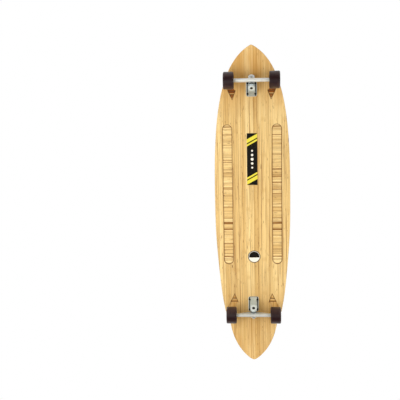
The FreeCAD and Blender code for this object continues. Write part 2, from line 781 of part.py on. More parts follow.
# Masters
screw = screw_master()
lock_nut = nut_master("lock_nut", "lock_nut_flats", "lock_nut_height", "screw_diameter / 2")
axle_nut = nut_master("axle_nut", "axle_nut_flats", "axle_nut_height", "axle_diameter / 2")
speed_washer = sleeve_master("speed_washer", "speed_washer_diameter", "axle_diameter", "speed_washer")
spacer = sleeve_master("spacer", "spacer_diameter", "axle_diameter", "spacer_length")
shield = sleeve_master("shield", "outer_race_bore", "shield_bore", "shield_thickness")
outer_race = race_master("outer_race", "bearing_outside", "outer_race_bore")
inner_race = race_master("inner_race", "inner_race_outside", "axle_diameter")
ball = ball_master()

for name, place in trucks.items():
    ring_place = at(steering_point("ring_reach"), KINGPIN)
    axle_place = Placement(Vector(0, size("axle_lead"), -size("axle_drop")), Rotation())
    nodes += [
        in_truck(riser_pad(f"{name}_riser_pad"), place),
        in_truck(baseplate(f"{name}_baseplate"), place),
        in_truck(pivot_cup(f"{name}_pivot_cup"), place, at(steering_point("0"), STEERING)),
        in_truck(kingpin(f"{name}_kingpin"), place, ring_place),
        in_truck(bushing(f"{name}_boardside_bushing", "-(ring_thickness / 2 + boardside_bushing)",
                         "boardside_bushing"), place, ring_place),
        in_truck(bushing(f"{name}_roadside_bushing", "ring_thickness / 2", "roadside_bushing"),
                 place, ring_place),
        in_truck(base_washer(f"{name}_base_washer"), place, ring_place),
        in_truck(cup_washer(f"{name}_cup_washer"), place, ring_place),
        in_truck(kingpin_nut(f"{name}_kingpin_nut"), place, ring_place),
        in_truck(hanger(f"{name}_hanger"), place),
        in_truck(axle(f"{name}_axle"), place, axle_place),
    ]
    head_level = size(f"{DECK_THICKNESS} - screw_sink")
    nodes.append(group(f"{name}_mounting_screws", screw,
                       [place * at(Vector(across, along, head_level)) for across, along in screw_corners()]))
    nodes.append(group(f"{name}_lock_nuts", lock_nut,
                       [place * at(Vector(across, along, -size(FLANGE_FACE)), -UP)
                        for across, along in screw_corners()]))
    # pieces threaded on the axle, on both sides
    sides = [place * axle_place * at(Vector(), SIDEWAYS * side) for side in (-1, 1)]
    along_axle = {
        "speed_washers": (speed_washer, ["hanger_width / 2", f"{AXLE_NUT_START} - speed_washer"]),
        "axle_nuts": (axle_nut, [AXLE_NUT_START]),
        "bearing_spacers": (spacer, [f"{BEARING_MIDDLE} - spacer_length / 2"]),
        "inner_races": (inner_race, [f"{BEARING_MIDDLE} - {BEARING_SIDE}",
                                     f"{BEARING_MIDDLE} + {BEARING_SIDE}"]),
    }
    for piece, (master, distances) in along_axle.items():
        nodes.append(group(f"{name}_{piece}", master,
                           [side * at(UP * size(distance)) for side in sides for distance in distances]))
    # wheels
    for hand, side in (("left", -1), ("right", 1)):
        wheel = f"{name}_{hand}"
        # the front truck is turned half round, so its own +X is the board's left
        turned = side if name == "rear" else -side
        hub_place = Placement(SIDEWAYS * turned * wheels_across, Rotation(UP, 90 - 90 * turned))
        hub = place * axle_place * hub_place
        nodes.append(in_truck(tyre(f"{wheel}_tyre"), hub))
        nodes.append(in_truck(core(f"{wheel}_core"), hub))
        seats = [hub * at(SIDEWAYS * end * size(BEARING_SIDE), SIDEWAYS) for end in (-1, 1)]
        nodes.append(group(f"{wheel}_outer_races", outer_race, seats))
        balls = [Placement(Vector(), Rotation(UP, 360 * i / BALLS)) * at(SIDEWAYS * size("ball_circle") / 2)
                 for i in range(BALLS)]
        nodes.append(group(f"{wheel}_balls", ball, [seat * spot for seat in seats for spot in balls]))
        shield_ends = [-size("bearing_width / 2 - shield_inset"),
                       size("bearing_width / 2 - shield_inset - shield_thickness")]
        nodes.append(group(f"{wheel}_shields", shield,
                           [seat * at(UP * end) for seat in seats for end in shield_ends]))

doc.recompute()
failed = [item.Label for item in doc.Objects if {"Invalid", "Error"} & set(item.State)]
failed += [node.Label for node in nodes if node.Shape.isNull() or not node.Shape.isValid()]
if failed:
    raise RuntimeError("these objects failed: " + ", ".join(failed))
os.makedirs("parts", exist_ok=True)
for node in nodes:
    node.Shape.exportStep(f"parts/{node.Label}.step")
print(len(nodes), "nodes, deck top at", round(deck_top, 2))
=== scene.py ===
import math

import bmesh
import bpy
from mathutils import Matrix, Quaternion, Vector


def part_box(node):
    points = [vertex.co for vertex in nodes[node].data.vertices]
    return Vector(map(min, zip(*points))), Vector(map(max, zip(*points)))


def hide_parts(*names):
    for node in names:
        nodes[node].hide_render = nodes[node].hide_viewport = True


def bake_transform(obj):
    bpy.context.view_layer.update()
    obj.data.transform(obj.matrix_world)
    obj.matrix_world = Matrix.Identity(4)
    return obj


# Bamboo longboard seen from below, nose up in the picture. Metres, in the frame of the CAD model.

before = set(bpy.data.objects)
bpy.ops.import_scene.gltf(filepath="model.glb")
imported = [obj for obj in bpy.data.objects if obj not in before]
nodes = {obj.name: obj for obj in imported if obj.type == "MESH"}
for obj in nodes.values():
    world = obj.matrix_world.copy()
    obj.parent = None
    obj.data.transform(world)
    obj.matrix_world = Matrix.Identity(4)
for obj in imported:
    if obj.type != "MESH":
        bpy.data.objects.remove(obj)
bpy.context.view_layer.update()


# Places that the frame gives

def middle(node):
    low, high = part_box(node)
    return (low + high) / 2


def thickness(node):
    low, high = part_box(node)
    return high.z - low.z


TRUCKS = {"front": -1, "rear": 1}     # the way along Y from each truck to its end of the board
HANDS = ("left", "right")
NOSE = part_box("deck_bottom_ply")[0].y
DECK_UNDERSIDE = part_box("deck_bottom_ply")[0].z
DECK_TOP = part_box("deck_top_ply")[1].z
FACE_PLY = thickness("deck_bottom_ply")
CROSS_PLY = thickness("deck_lower_crossband")
SCREWS = {truck: middle(f"{truck}_riser_pad").y for truck in TRUCKS}


# Node helpers

FLOAT = "NodeSocketFloat"
COLOUR = "NodeSocketColor"
VECTOR = "NodeSocketVector"


def new_material(name):
    material = bpy.data.materials.new(name)
    material.use_nodes = True
    tree = material.node_tree
    tree.nodes.clear()
    output = tree.nodes.new("ShaderNodeOutputMaterial")
    shader = tree.nodes.new("ShaderNodeBsdfPrincipled")
    tree.links.new(shader.outputs["BSDF"], output.inputs["Surface"])
    return material, tree, shader


def plug(tree, socket, value):
    """Links a socket to another, or sets a plain value on it."""
    if isinstance(value, bpy.types.NodeSocket):
        tree.links.new(value, socket)
    else:
        socket.default_value = value


def math_node(tree, operation, *values):
    node = tree.nodes.new("ShaderNodeMath")
    node.operation = operation
    for socket, value in zip(node.inputs, values):
        plug(tree, socket, value)
    return node.outputs[0]


def add(tree, first, second):
    return math_node(tree, "ADD", first, second)


def minus(tree, first, second):
    return math_node(tree, "SUBTRACT", first, second)


def times(tree, first, second):
    return math_node(tree, "MULTIPLY", first, second)


def gap(tree, first, second):
    """How far two values lie apart."""
    return math_node(tree, "ABSOLUTE", minus(tree, first, second))


def hypotenuse(tree, across, along):
    return math_node(tree, "SQRT", add(tree, times(tree, across, across), times(tree, along, along)))


def mapped(tree, source, scale):
    node = tree.nodes.new("ShaderNodeMapping")
    plug(tree, node.inputs["Vector"], source)
    node.inputs["Scale"].default_value = scale
    return node.outputs["Vector"]


def object_place(tree):
    return tree.nodes.new("ShaderNodeTexCoord").outputs["Object"]


def noise(tree, place, scale, detail, roughness, dimensions="3D"):
    node = tree.nodes.new("ShaderNodeTexNoise")
    node.noise_dimensions = dimensions
    plug(tree, node.inputs["W" if dimensions == "1D" else "Vector"], place)
    node.inputs["Scale"].default_value = scale
    node.inputs["Detail"].default_value = detail
    node.inputs["Roughness"].default_value = roughness
    return node.outputs["Fac"]


def white_noise(tree, place, dimensions="1D"):
    node = tree.nodes.new("ShaderNodeTexWhiteNoise")
    node.noise_dimensions = dimensions
    plug(tree, node.inputs["W" if dimensions == "1D" else "Vector"], place)
    return node.outputs["Value"]


def draw(tree, index, salt):
    """A random value for each whole number. Draws with other salts have nothing in common."""
    return white_noise(tree, add(tree, index, salt))


def span(tree, value, low, high, to_low=0.0, to_high=1.0, smooth=False):
    """Takes a value from one range to another and stops at its ends."""
    node = tree.nodes.new("ShaderNodeMapRange")
    node.interpolation_type = "SMOOTHSTEP" if smooth else "LINEAR"
    for name, number in (("From Min", low), ("From Max", high), ("To Min", to_low), ("To Max", to_high)):
        node.inputs[name].default_value = number
    plug(tree, node.inputs["Value"], value)
    return node.outputs["Result"]


def mixed(tree, share, first, second, blend="MIX"):
    node = tree.nodes.new("ShaderNodeMix")
    node.data_type = "RGBA"
    node.blend_type = blend
    plug(tree, node.inputs["Factor"], share)
    plug(tree, node.inputs["A"], first)
    plug(tree, node.inputs["B"], second)
    return node.outputs["Result"]


def ramp(tree, value, stops):
    node = tree.nodes.new("ShaderNodeValToRGB")
    elements = node.color_ramp.elements
    while len(elements) < len(stops):
        elements.new(0.5)
    for element, (place, colour) in zip(elements, stops):
        element.position = place
        element.color = colour
    plug(tree, node.inputs["Fac"], value)
    return node.outputs["Color"]


def axes(tree, place):
    node = tree.nodes.new("ShaderNodeSeparateXYZ")
    plug(tree, node.inputs["Vector"], place)
    return node.outputs["X"], node.outputs["Y"], node.outputs["Z"]


def joined(tree, x, y, z):
    node = tree.nodes.new("ShaderNodeCombineXYZ")
    for socket, value in zip(node.inputs, (x, y, z)):
        plug(tree, socket, value)
    return node.outputs["Vector"]


def bump(tree, shader, height, strength, distance, edge=0.0):
    """Bump from a height, over edges that are rounded in the shading by a radius."""
    node = tree.nodes.new("ShaderNodeBump")
    if edge:
        rounded = tree.nodes.new("ShaderNodeBevel")
        rounded.samples = 6
        rounded.inputs["Radius"].default_value = edge
        tree.links.new(rounded.outputs["Normal"], node.inputs["Normal"])
    node.inputs["Strength"].default_value = strength
    node.inputs["Distance"].default_value = distance
    plug(tree, node.inputs["Height"], height)
    tree.links.new(node.outputs["Normal"], shader.inputs["Normal"])


def new_group(name, inputs, outputs):
    """An empty shader node group: its tree, the sockets of its inputs and the sockets of its outputs."""
    tree = bpy.data.node_groups.new(name, "ShaderNodeTree")
    for label, kind in inputs:
        tree.interface.new_socket(label, in_out="INPUT", socket_type=kind)
    for label, kind in outputs:
        tree.interface.new_socket(label, in_out="OUTPUT", socket_type=kind)
    start = tree.nodes.new("NodeGroupInput")
    end = tree.nodes.new("NodeGroupOutput")
    return tree, start.outputs, end.inputs


def use_group(tree, group, **values):
    """Places a group with a value or a link on each of its inputs. An underscore stands for a space."""
    node = tree.nodes.new("ShaderNodeGroup")
    node.node_tree = group
    for name, value in values.items():
        plug(tree, node.inputs[name.replace("_", " ")], value)
    return node.outputs


# Bamboo strips

BAMBOO_TONES = [(0.10, (0.41, 0.250, 0.082, 1)), (0.34, (0.59, 0.405, 0.160, 1)),
                (0.52, (0.71, 0.525, 0.235, 1)), (0.80, (0.82, 0.675, 0.360, 1))]
BAMBOO_SEAM = (0.24, 0.115, 0.034, 1)
BAMBOO_NODE = (0.47, 0.28, 0.095, 1)
BAMBOO_SPOT = (0.13, 0.055, 0.018, 1)
SLATS_PER_STRIP = 3.0
STAVES_PER_METRE = 0.8
NODE_PITCH = 0.185                # between two growth nodes of a strip
MIDDLE_LEVEL = 0.64               # level that contrast leaves alone
MIDDLE_TONE = 0.55                # where that level lies among the bamboo's tones
# changes per metre across and along the strips
FINE_GRAIN = (900.0, 7.0)
BROAD_GRAIN = (170.0, 1.3)
DASHES = (330.0, 30.0)
KNOT_CELLS = (34.0, 15.0)
KNOT_OUTLINE = (420.0, 160.0)
# dark fibres, broad and fine: changes per metre, noise where a fibre starts and where it is full, share
FIBRES = (((210.0, 2.2), 0.54, 0.65, 0.52), ((520.0, 4.5), 0.57, 0.69, 0.66))


def stretched(tree, x, y, per_metre, layer):
    """A place for noise that changes so often per metre across and along, with a layer of its own."""
    across, along = per_metre
    return joined(tree, times(tree, x, across), times(tree, y, along), layer)


def edge_gap(tree, part):
    """Distance from the nearer edge of a strip, as a share of its width."""
    return math_node(tree, "MINIMUM", part, minus(tree, 1.0, part))


def joint_lines(tree, y, strip, strip_part, slat, slat_part):
    """Lines where two strips meet, along parts of them, and paler ones between some slats."""
    line = span(tree, edge_gap(tree, strip_part), 0.04, 0.09, 1.0, 0.0, True)
    broken = noise(tree, joined(tree, times(tree, strip, 5.1), times(tree, y, 3.4), 0.0), 1.0, 2.0, 0.5)
    seam = times(tree, line, span(tree, broken, 0.41, 0.55, 0.0, 1.0, True))
    slat_line = span(tree, edge_gap(tree, slat_part), 0.03, 0.12, 1.0, 0.0, True)
    slat_seam = times(tree, slat_line, span(tree, draw(tree, slat, 5.3), 0.45, 0.9, 0.0, 0.55))
    return math_node(tree, "MAXIMUM", seam, slat_seam)


def growth_bands(tree, y, strip):
    """A faint cross band at each growth node, at a phase of each strip's own."""
    phase = add(tree, math_node(tree, "DIVIDE", y, NODE_PITCH), times(tree, draw(tree, strip, 13.7), 7.0))
    off = gap(tree, math_node(tree, "FRACT", phase), 0.5)
    strong = white_noise(tree, joined(tree, strip, math_node(tree, "FLOOR", phase), 4.0), "3D")
    return times(tree, span(tree, off, 0.01, 0.10, 1.0, 0.0, True), span(tree, strong, 0.3, 1.0, 0.0, 0.30))


def knot_spots(tree, x, y, seed):
    """Small ragged spots, in some cells of a loose pattern."""
    ragged = noise(tree, stretched(tree, x, y, KNOT_OUTLINE, seed), 1.0, 2.0, 0.5)
    cells = tree.nodes.new("ShaderNodeTexVoronoi")
    plug(tree, cells.inputs["Vector"], stretched(tree, x, y, KNOT_CELLS, seed))
    cells.inputs["Scale"].default_value = 1.0
    away = math_node(tree, "MULTIPLY_ADD", minus(tree, ragged, 0.5), 0.09, cells.outputs["Distance"])
    picked = span(tree, axes(tree, cells.outputs["Color"])[0], 0.35, 0.90)
    return times(tree, span(tree, away, 0.07, 0.15, 1.0, 0.0, True), picked)


def bamboo_group():
    """Bamboo strips laid along Y: tone per strip, fibres, joint lines and the dark node marks."""
    tree, given, result = new_group(
        "bamboo strips",
        [("Place", VECTOR), ("Strip Width", FLOAT), ("Seed", FLOAT), ("Contrast", FLOAT), ("Seams", FLOAT),
         ("Knots", FLOAT)],
        [("Colour", COLOUR), ("Grain", FLOAT)])
    x, y, _ = axes(tree, given["Place"])
    # the strips' widths wander
    across = add(tree, math_node(tree, "DIVIDE", x, given["Strip Width"]), given["Seed"])
    warped = add(tree, across, times(tree, noise(tree, across, 0.9, 1.0, 0.5, "1D"), 1.3))
    strip = math_node(tree, "FLOOR", warped)
    strip_part = math_node(tree, "FRACT", warped)
    # narrow slats inside each strip, and long staves along it
    slatted = times(tree, warped, SLATS_PER_STRIP)
    slat = math_node(tree, "FLOOR", slatted)
    slat_part = math_node(tree, "FRACT", slatted)
    stave = math_node(tree, "FLOOR", add(tree, times(tree, y, STAVES_PER_METRE),
                                         times(tree, draw(tree, strip, 71.3), 9.0)))

    def streaks(per_metre, salt, detail, roughness):
        """Noise drawn out along the strips, and another one in each strip."""
        return noise(tree, stretched(tree, x, y, per_metre, times(tree, strip, salt)), 1.0, detail, roughness)

    fine = streaks(FINE_GRAIN, 3.7, 4.0, 0.65)
    broad = streaks(BROAD_GRAIN, 1.9, 3.0, 0.55)
    level = times(tree, white_noise(tree, joined(tree, strip, stave, 0.0), "3D"), 0.10)
    tones = ((white_noise(tree, strip), 0.20), (draw(tree, slat, 311.7), 0.16), (broad, 0.42), (fine, 0.36))
    for tone, weight in tones:
        level = math_node(tree, "MULTIPLY_ADD", tone, weight, level)
    level = math_node(tree, "MULTIPLY_ADD", minus(tree, level, MIDDLE_LEVEL), given["Contrast"], MIDDLE_TONE)
    colour = ramp(tree, level, BAMBOO_TONES)
    lines = joint_lines(tree, y, strip, strip_part, slat, slat_part)
    colour = mixed(tree, times(tree, lines, given["Seams"]), colour, BAMBOO_SEAM)
    for per_metre, low, high, share in FIBRES:
        fibre = streaks(per_metre, 7.7, 2.0, 0.5)
        colour = mixed(tree, span(tree, fibre, low, high, 0.0, share, True), colour, BAMBOO_SEAM)
    colour = mixed(tree, growth_bands(tree, y, strip), colour, BAMBOO_NODE)
    dashes = span(tree, streaks(DASHES, 1.3, 1.0, 0.5), 0.68, 0.76, 0.0, 0.85, True)
    colour = mixed(tree, dashes, colour, BAMBOO_SPOT)
    knots = knot_spots(tree, x, y, given["Seed"])
    colour = mixed(tree, times(tree, knots, given["Knots"]), colour, BAMBOO_SPOT)
    plug(tree, result["Colour"], colour)
    plug(tree, result["Grain"], math_node(tree, "MULTIPLY_ADD", fine, 0.7, times(tree, broad, 0.3)))
    return tree


# The deck's routed shapes, as in the CAD model. A well's points are given across, and outboard of the screws.

GROOVE_ACROSS = 0.1285
GROOVE_MIDDLE = -0.065
GROOVE_LENGTH = 0.738
GROOVE_WIDTH = 0.049
WELL_TIP = (0.0998, -0.054)
WELL_INNER = (0.0828, -0.009)
WELL_OUTER = (0.1218, -0.009)


def groove_edge(tree, folded, y):
    """Distance to the edge of a groove with round ends."""
    beyond = minus(tree, gap(tree, y, GROOVE_MIDDLE), GROOVE_LENGTH / 2 - GROOVE_WIDTH / 2)
    away = hypotenuse(tree, minus(tree, folded, GROOVE_ACROSS), math_node(tree, "MAXIMUM", beyond, 0.0))
    return gap(tree, away, GROOVE_WIDTH / 2)


def line_gap(tree, across, outboard, start, end):
    """Distance to a straight edge, with square corners round its ends."""
    run = Vector(end) - Vector(start)
    length = run.length
    run.normalize()
    px = minus(tree, across, start[0])
    py = minus(tree, outboard, start[1])
    along = add(tree, times(tree, px, run.x), times(tree, py, run.y))
    aside = gap(tree, times(tree, px, run.y), times(tree, py, run.x))
    beyond = math_node(tree, "MAXIMUM", times(tree, along, -1.0), minus(tree, along, length))
    return math_node(tree, "MAXIMUM", aside, beyond)


def routed_group():
    """Distance in metres to the nearest edge of the two long grooves and of the four wheel wells."""
    tree, given, result = new_group("routed edges", [("Place", VECTOR)], [("Distance", FLOAT)])
    x, y, _ = axes(tree, given["Place"])
    folded = math_node(tree, "ABSOLUTE", x)
    nearest = groove_edge(tree, folded, y)
    for truck, way in TRUCKS.items():
        outboard = times(tree, minus(tree, y, SCREWS[truck]), way)
        for corner in (WELL_INNER, WELL_OUTER):
            edge = line_gap(tree, folded, outboard, WELL_TIP, corner)
            nearest = math_node(tree, "MINIMUM", nearest, edge)
    plug(tree, result["Distance"], nearest)
    return tree


BAMBOO = bamboo_group()
ROUTED = routed_group()


# Prints on the deck

PRINT_BLACK = (0.003, 0.0034, 0.003, 1)
PRINT_YELLOW = (0.72, 0.66, 0.07, 1)
PRINT_WHITE = (0.80, 0.81, 0.78, 1)
PRINT_HEIGHT = (0.5, 0.5, 0.5, 1)     # middle of the grain's height, all over a print
MASK_EDGE = 0.0006                # half the width in which a mask fades out
PRINT_DEPTH = (0.0004, 0.0008)    # from the deck's face, where a print starts to fade and where it ends
BAR_HALF_LENGTH = 0.135
UNDERSIDE_BAR_Y = -0.254
UNDERSIDE_BAR_HALF_WIDTH = 0.027
TOP_BAR_Y = -0.452
TOP_BAR_HALF_WIDTH = 0.0275
BANDS = ((0.80, 0.010), (0.64, 0.005))     # share of the bar's half length, half width
BAND_SLANT = 0.55
DOT_STEP = 0.022
DOT_RADIUS = 0.0075
DOT_LOSS = 0.0012                 # each dot's radius is smaller by this than the one nearer the middle
DISC_CENTRE = (0.006, 0.265)
DISC_RADIUS = 0.033
DISC_RING = (0.0275, 0.0295)
DISC_SPLIT = (0.0045, 0.0055)     # behind the disc's centre, where its black half fades to white


def box_mask(tree, across, along, centre, half):
    """1 inside a rectangle about a centre, with slightly soft edges."""
    sides = []
    for value, place, reach in ((across, centre[0], half[0]), (along, centre[1], half[1])):
        sides.append(span(tree, gap(tree, value, place), reach - MASK_EDGE, reach + MASK_EDGE, 1.0, 0.0))
    return times(tree, sides[0], sides[1])


def disc_mask(tree, across, along, centre, radius):
    away = hypotenuse(tree, minus(tree, across, centre[0]), minus(tree, along, centre[1]))
    return span(tree, away, radius - MASK_EDGE, radius + MASK_EDGE, 1.0, 0.0)


def striped_bar(tree, colour, long_axis, short_axis, centre, half_width):
    """Printed black bar with yellow slanted bands at each end and a row of pale dots between them."""
    bar = box_mask(tree, long_axis, short_axis, centre, (BAR_HALF_LENGTH, half_width))
    colour = mixed(tree, bar, colour, PRINT_BLACK)
    slanted = math_node(tree, "MULTIPLY_ADD", minus(tree, short_axis, centre[1]), BAND_SLANT,
                        minus(tree, long_axis, centre[0]))
    for side in (-1, 1):
        for share, half in BANDS:
            away = gap(tree, slanted, side * share * BAR_HALF_LENGTH)
            band = times(tree, span(tree, away, half - MASK_EDGE, half + MASK_EDGE, 1.0, 0.0), bar)
            colour = mixed(tree, band, colour, PRINT_YELLOW)
    for step in range(-2, 3):
        dot = disc_mask(tree, long_axis, short_axis, (centre[0] + step * DOT_STEP, centre[1]),
                        DOT_RADIUS - DOT_LOSS * abs(step))
        colour = mixed(tree, dot, colour, PRINT_WHITE)
    return colour, bar


def two_tone_disc(tree, colour, x, y):
    """Printed black disc with a white ring and a white half towards the tail."""
    inner, outer = (disc_mask(tree, x, y, DISC_CENTRE, radius) for radius in DISC_RING)
    disc = disc_mask(tree, x, y, DISC_CENTRE, DISC_RADIUS)
    colour = mixed(tree, disc, colour, PRINT_BLACK)
    colour = mixed(tree, minus(tree, outer, inner), colour, PRINT_WHITE)
    behind = minus(tree, y, DISC_CENTRE[1])
    half = times(tree, inner, span(tree, behind, *DISC_SPLIT))
    return mixed(tree, half, colour, PRINT_WHITE), disc


def underside_prints(tree, colour, x, y, z):
    """Print on the underside only: a lengthwise bar towards the nose and a two-tone disc behind it."""
    down = span(tree, z, DECK_UNDERSIDE + PRINT_DEPTH[0], DECK_UNDERSIDE + PRINT_DEPTH[1], 1.0, 0.0)
    printed, bar = striped_bar(tree, colour, y, x, (UNDERSIDE_BAR_Y, 0.0), UNDERSIDE_BAR_HALF_WIDTH)
    printed, disc = two_tone_disc(tree, printed, x, y)
    mask = times(tree, math_node(tree, "MAXIMUM", bar, disc), down)
    return mixed(tree, down, colour, printed), mask


def top_prints(tree, colour, x, y, z):
    """Print on the top only: a bar across the deck behind the front screws."""
    up = span(tree, z, DECK_TOP - PRINT_DEPTH[1], DECK_TOP - PRINT_DEPTH[0])
    printed, bar = striped_bar(tree, colour, x, y, (0.0, TOP_BAR_Y), TOP_BAR_HALF_WIDTH)
    return mixed(tree, up, colour, printed), times(tree, bar, up)


# Bamboo finishes

END_BROWN = (0.52, 0.265, 0.060, 1)
# dark brown for glue lines, and for the routing burn and painted shade along routed edges
BAMBOO_DARK_BROWN = (0.13, 0.052, 0.016, 1)
BAMBOO_END_GRAIN = (0.40, 0.225, 0.078, 1)
# the ends are darker and browner than the middle: Y where that starts, Y where it is full, share
DARKER_ENDS = ((-0.46, -0.65, 0.58), (0.36, 0.59, 0.42))
END_PATCHES = (26, 5, 26)       # changes per metre along each axis
# painted shade on each truck's well floors: how far they are darkened, and by what colour
WELL_FLOOR_SHADE = {"front": (1.25, (0.38, 0.175, 0.065, 1)), "rear": (0.6, (1.0, 0.76, 0.42, 1))}
WELLS_ACROSS = 0.110
WELLS_REACH = (0.036, 0.100)      # either way from there and from the screws, to hold a well
FLOOR_FACING = -0.9               # a face is a floor up to this Z of its normal, and a wall from the next
WALL_FACING = -0.7
BURN_AND_SHADE_EDGE = (0.0010, 0.0029)     # from a routed edge, where the dark line of routing burn and painted shade starts to fade and where it ends
GLUE_LINE = (-0.0010, -0.0006, 0.0003)     # from a joint: the line's start, its full dark and its end


def darken_ends(tree, colour, place, y):
    nose, tail = (span(tree, y, start, full, 0.0, share, True) for start, full, share in DARKER_ENDS)
    patchy = span(tree, noise(tree, mapped(tree, place, END_PATCHES), 1.0, 2.0, 0.5), 0.3, 0.7, 0.55, 1.35)
    return mixed(tree, times(tree, math_node(tree, "MAXIMUM", nose, tail), patchy), colour, END_BROWN)


def cut_fibres(tree, colour, x, y, z, end_grain):
    """Darker cut fibres on walls, and painted shade on the floors of the wheel wells, heavier at the front
    truck.
    """
    start, full, share = end_grain
    deep = span(tree, z, start, full, 0.0, share)
    facing = axes(tree, tree.nodes.new("ShaderNodeTexCoord").outputs["Normal"])[2]
    wall = span(tree, facing, WALL_FACING, FLOOR_FACING, 0.8, 0.0)
    floor = span(tree, facing, WALL_FACING, FLOOR_FACING)
    colour = mixed(tree, times(tree, deep, wall), colour, BAMBOO_END_GRAIN)
    folded = math_node(tree, "ABSOLUTE", x)
    # painted shade on the well floors, multiplied in, heavier at the front truck
    for truck, (shade_share, shade_colour) in WELL_FLOOR_SHADE.items():
        well = box_mask(tree, folded, y, (WELLS_ACROSS, SCREWS[truck]), WELLS_REACH)
        dark = times(tree, times(tree, times(tree, well, floor), shade_share), deep)
        colour = mixed(tree, dark, colour, shade_colour, "MULTIPLY")
    return colour


def glue_line(tree, colour, z, joint):
    start, full, end = (joint + offset for offset in GLUE_LINE)
    band = times(tree, span(tree, z, start, full, 0.0, 1.0, True), span(tree, z, joint, end, 1.0, 0.0))
    return mixed(tree, times(tree, band, 0.9), colour, BAMBOO_DARK_BROWN)


def bamboo_material(name, seed, strip_width, along="Y", contrast=1.0, seams=0.6, roughness=0.36, coat=0.03,
                    knots=0.25, tint=None, glue=(), end_grain=None, routed=0.0, prints=None):
    """Laminated bamboo. glue lists the heights of its glue joints. end_grain has the heights where cut fibres
    start to darken the ply and where they are full, and their share. routed is how dark the line of routing
    burn and painted shade along cut edges is."""
    material, tree, shader = new_material(name)
    place = object_place(tree)
    x, y, z = axes(tree, place)
    laid = place if along == "Y" else joined(tree, y, x, z)
    strips = use_group(tree, BAMBOO, Place=laid, Strip_Width=strip_width, Seed=seed, Contrast=contrast,
                       Seams=seams, Knots=knots)
    colour = mixed(tree, 1.0, strips["Colour"], tint, "MULTIPLY") if tint else strips["Colour"]
    colour = darken_ends(tree, colour, place, y)
    height = strips["Grain"]
    if prints:
        colour, printed = prints(tree, colour, x, y, z)
        height = mixed(tree, printed, height, PRINT_HEIGHT)
    if routed:
        # a dark line along routed edges: partly routing burn, partly painted shade
        away = use_group(tree, ROUTED, Place=place)["Distance"]
        colour = mixed(tree, span(tree, away, *BURN_AND_SHADE_EDGE, routed, 0.0, True), colour, BAMBOO_DARK_BROWN)
    if end_grain:
        colour = cut_fibres(tree, colour, x, y, z, end_grain)
    for joint in glue:
        colour = glue_line(tree, colour, z, joint)
    plug(tree, shader.inputs["Base Color"], colour)
    plug(tree, shader.inputs["Roughness"],
         span(tree, strips["Grain"], 0.2, 0.8, roughness - 0.07, roughness + 0.10))
    shader.inputs["Coat Weight"].default_value = coat
    shader.inputs["Coat Roughness"].default_value = 0.22
    shader.inputs["Specular IOR Level"].default_value = 0.12
    bump(tree, shader, height, 0.16, 0.0004)
    return material


# Metal and urethane finishes

# painted shade: dark grey for recesses and gaps on the castings
PAINTED_SHADE = (0.055, 0.060, 0.056, 1)
# painted highlight: pale blue-white for the baseplates' boss ends
PAINTED_HIGHLIGHT = (0.78, 0.87, 0.90, 1)
FLANGE_SHADE_HEIGHT = DECK_UNDERSIDE - 0.0095      # height above which painted shade darkens a baseplate's recessed flange
FLANGE_RIM = 0.024                         # from a baseplate's middle, where its rim with less painted shade starts
RIM_FADE = 0.0012
# changes per metre, along each axis where there are three
CAST_TONES = 45.0
STEEL_TONES = 120.0
TURNED_RINGS = (2600, 180, 180)
MOTTLE = 60.0
SCUFFS = (90, 520, 520)
GRIT = 1400.0


def truck_point(truck, outboard, height):
    """A point in the middle of the board, outboard of a truck's screws."""
    return 0, SCREWS[truck] + TRUCKS[truck] * outboard, height


# painted shade, painted highlights and other darker patches on the castings: point, radius of the full patch,
# radius of its end, share, colour
# each hanger: painted shade in the gap between the pivot boss and the hanger's web; the rear hanger is also
# darkened broadly about its bar
HANGER_DARK_PATCHES = [(truck_point("front", 0.017, 0.054), 0.015, 0.023, 0.92, PAINTED_SHADE),
               (truck_point("rear", 0.017, 0.054), 0.015, 0.023, 0.92, PAINTED_SHADE),
               (truck_point("rear", 0.041, 0.044), 0.03, 0.15, 0.20, PAINTED_SHADE)]
# front baseplate: painted shade on its tongue; both baseplates: painted highlight on the boss end round the
# relief hole
BASEPLATE_SHADE_AND_HIGHLIGHT = [(truck_point("front", -0.020, 0.080), 0.012, 0.045, 0.35, PAINTED_SHADE),
                  (truck_point("front", 0.0, 0.037), 0.014, 0.022, 0.60, PAINTED_HIGHLIGHT),
                  (truck_point("rear", 0.0, 0.037), 0.014, 0.022, 0.60, PAINTED_HIGHLIGHT)]


def cast_group():
    """Tumbled casting: fine pits and slow tone changes."""
    tree, given, result = new_group(
        "cast surface", [("Place", VECTOR), ("Grain Size", FLOAT)],
        [("Height", FLOAT), ("Tone", FLOAT), ("Pits", FLOAT)])
    scaled = tree.nodes.new("ShaderNodeVectorMath")
    scaled.operation = "SCALE"
    plug(tree, scaled.inputs["Vector"], given["Place"])
    plug(tree, scaled.inputs["Scale"], math_node(tree, "DIVIDE", 1.0, given["Grain Size"]))
    place = scaled.outputs["Vector"]
    grain = noise(tree, place, 1.0, 3.0, 0.6)
    pits = span(tree, noise(tree, place, 0.55, 2.0, 0.5), 0.30, 0.42, 1.0, 0.0, True)
    plug(tree, result["Height"], minus(tree, grain, times(tree, pits, 0.6)))
    plug(tree, result["Tone"], noise(tree, given["Place"], CAST_TONES, 4.0, 0.6))
    plug(tree, result["Pits"], pits)
    return tree


CAST = cast_group()


def flange_shade(tree, colour, place, surface, height):
    """Painted shade in a baseplate's recess: above a height, less of it on the rim, with a ragged outline."""
    x, _, z = axes(tree, place)
    ragged = times(tree, minus(tree, surface["Tone"], 0.5), 0.004)
    sunk = span(tree, add(tree, z, ragged), height - 0.0010, height + 0.0005, 0.0, 0.92, True)
    inside = span(tree, add(tree, math_node(tree, "ABSOLUTE", x), ragged),
                  FLANGE_RIM - RIM_FADE, FLANGE_RIM + RIM_FADE, 1.0, 0.25, True)
    return mixed(tree, times(tree, sunk, inside), colour, PAINTED_SHADE)


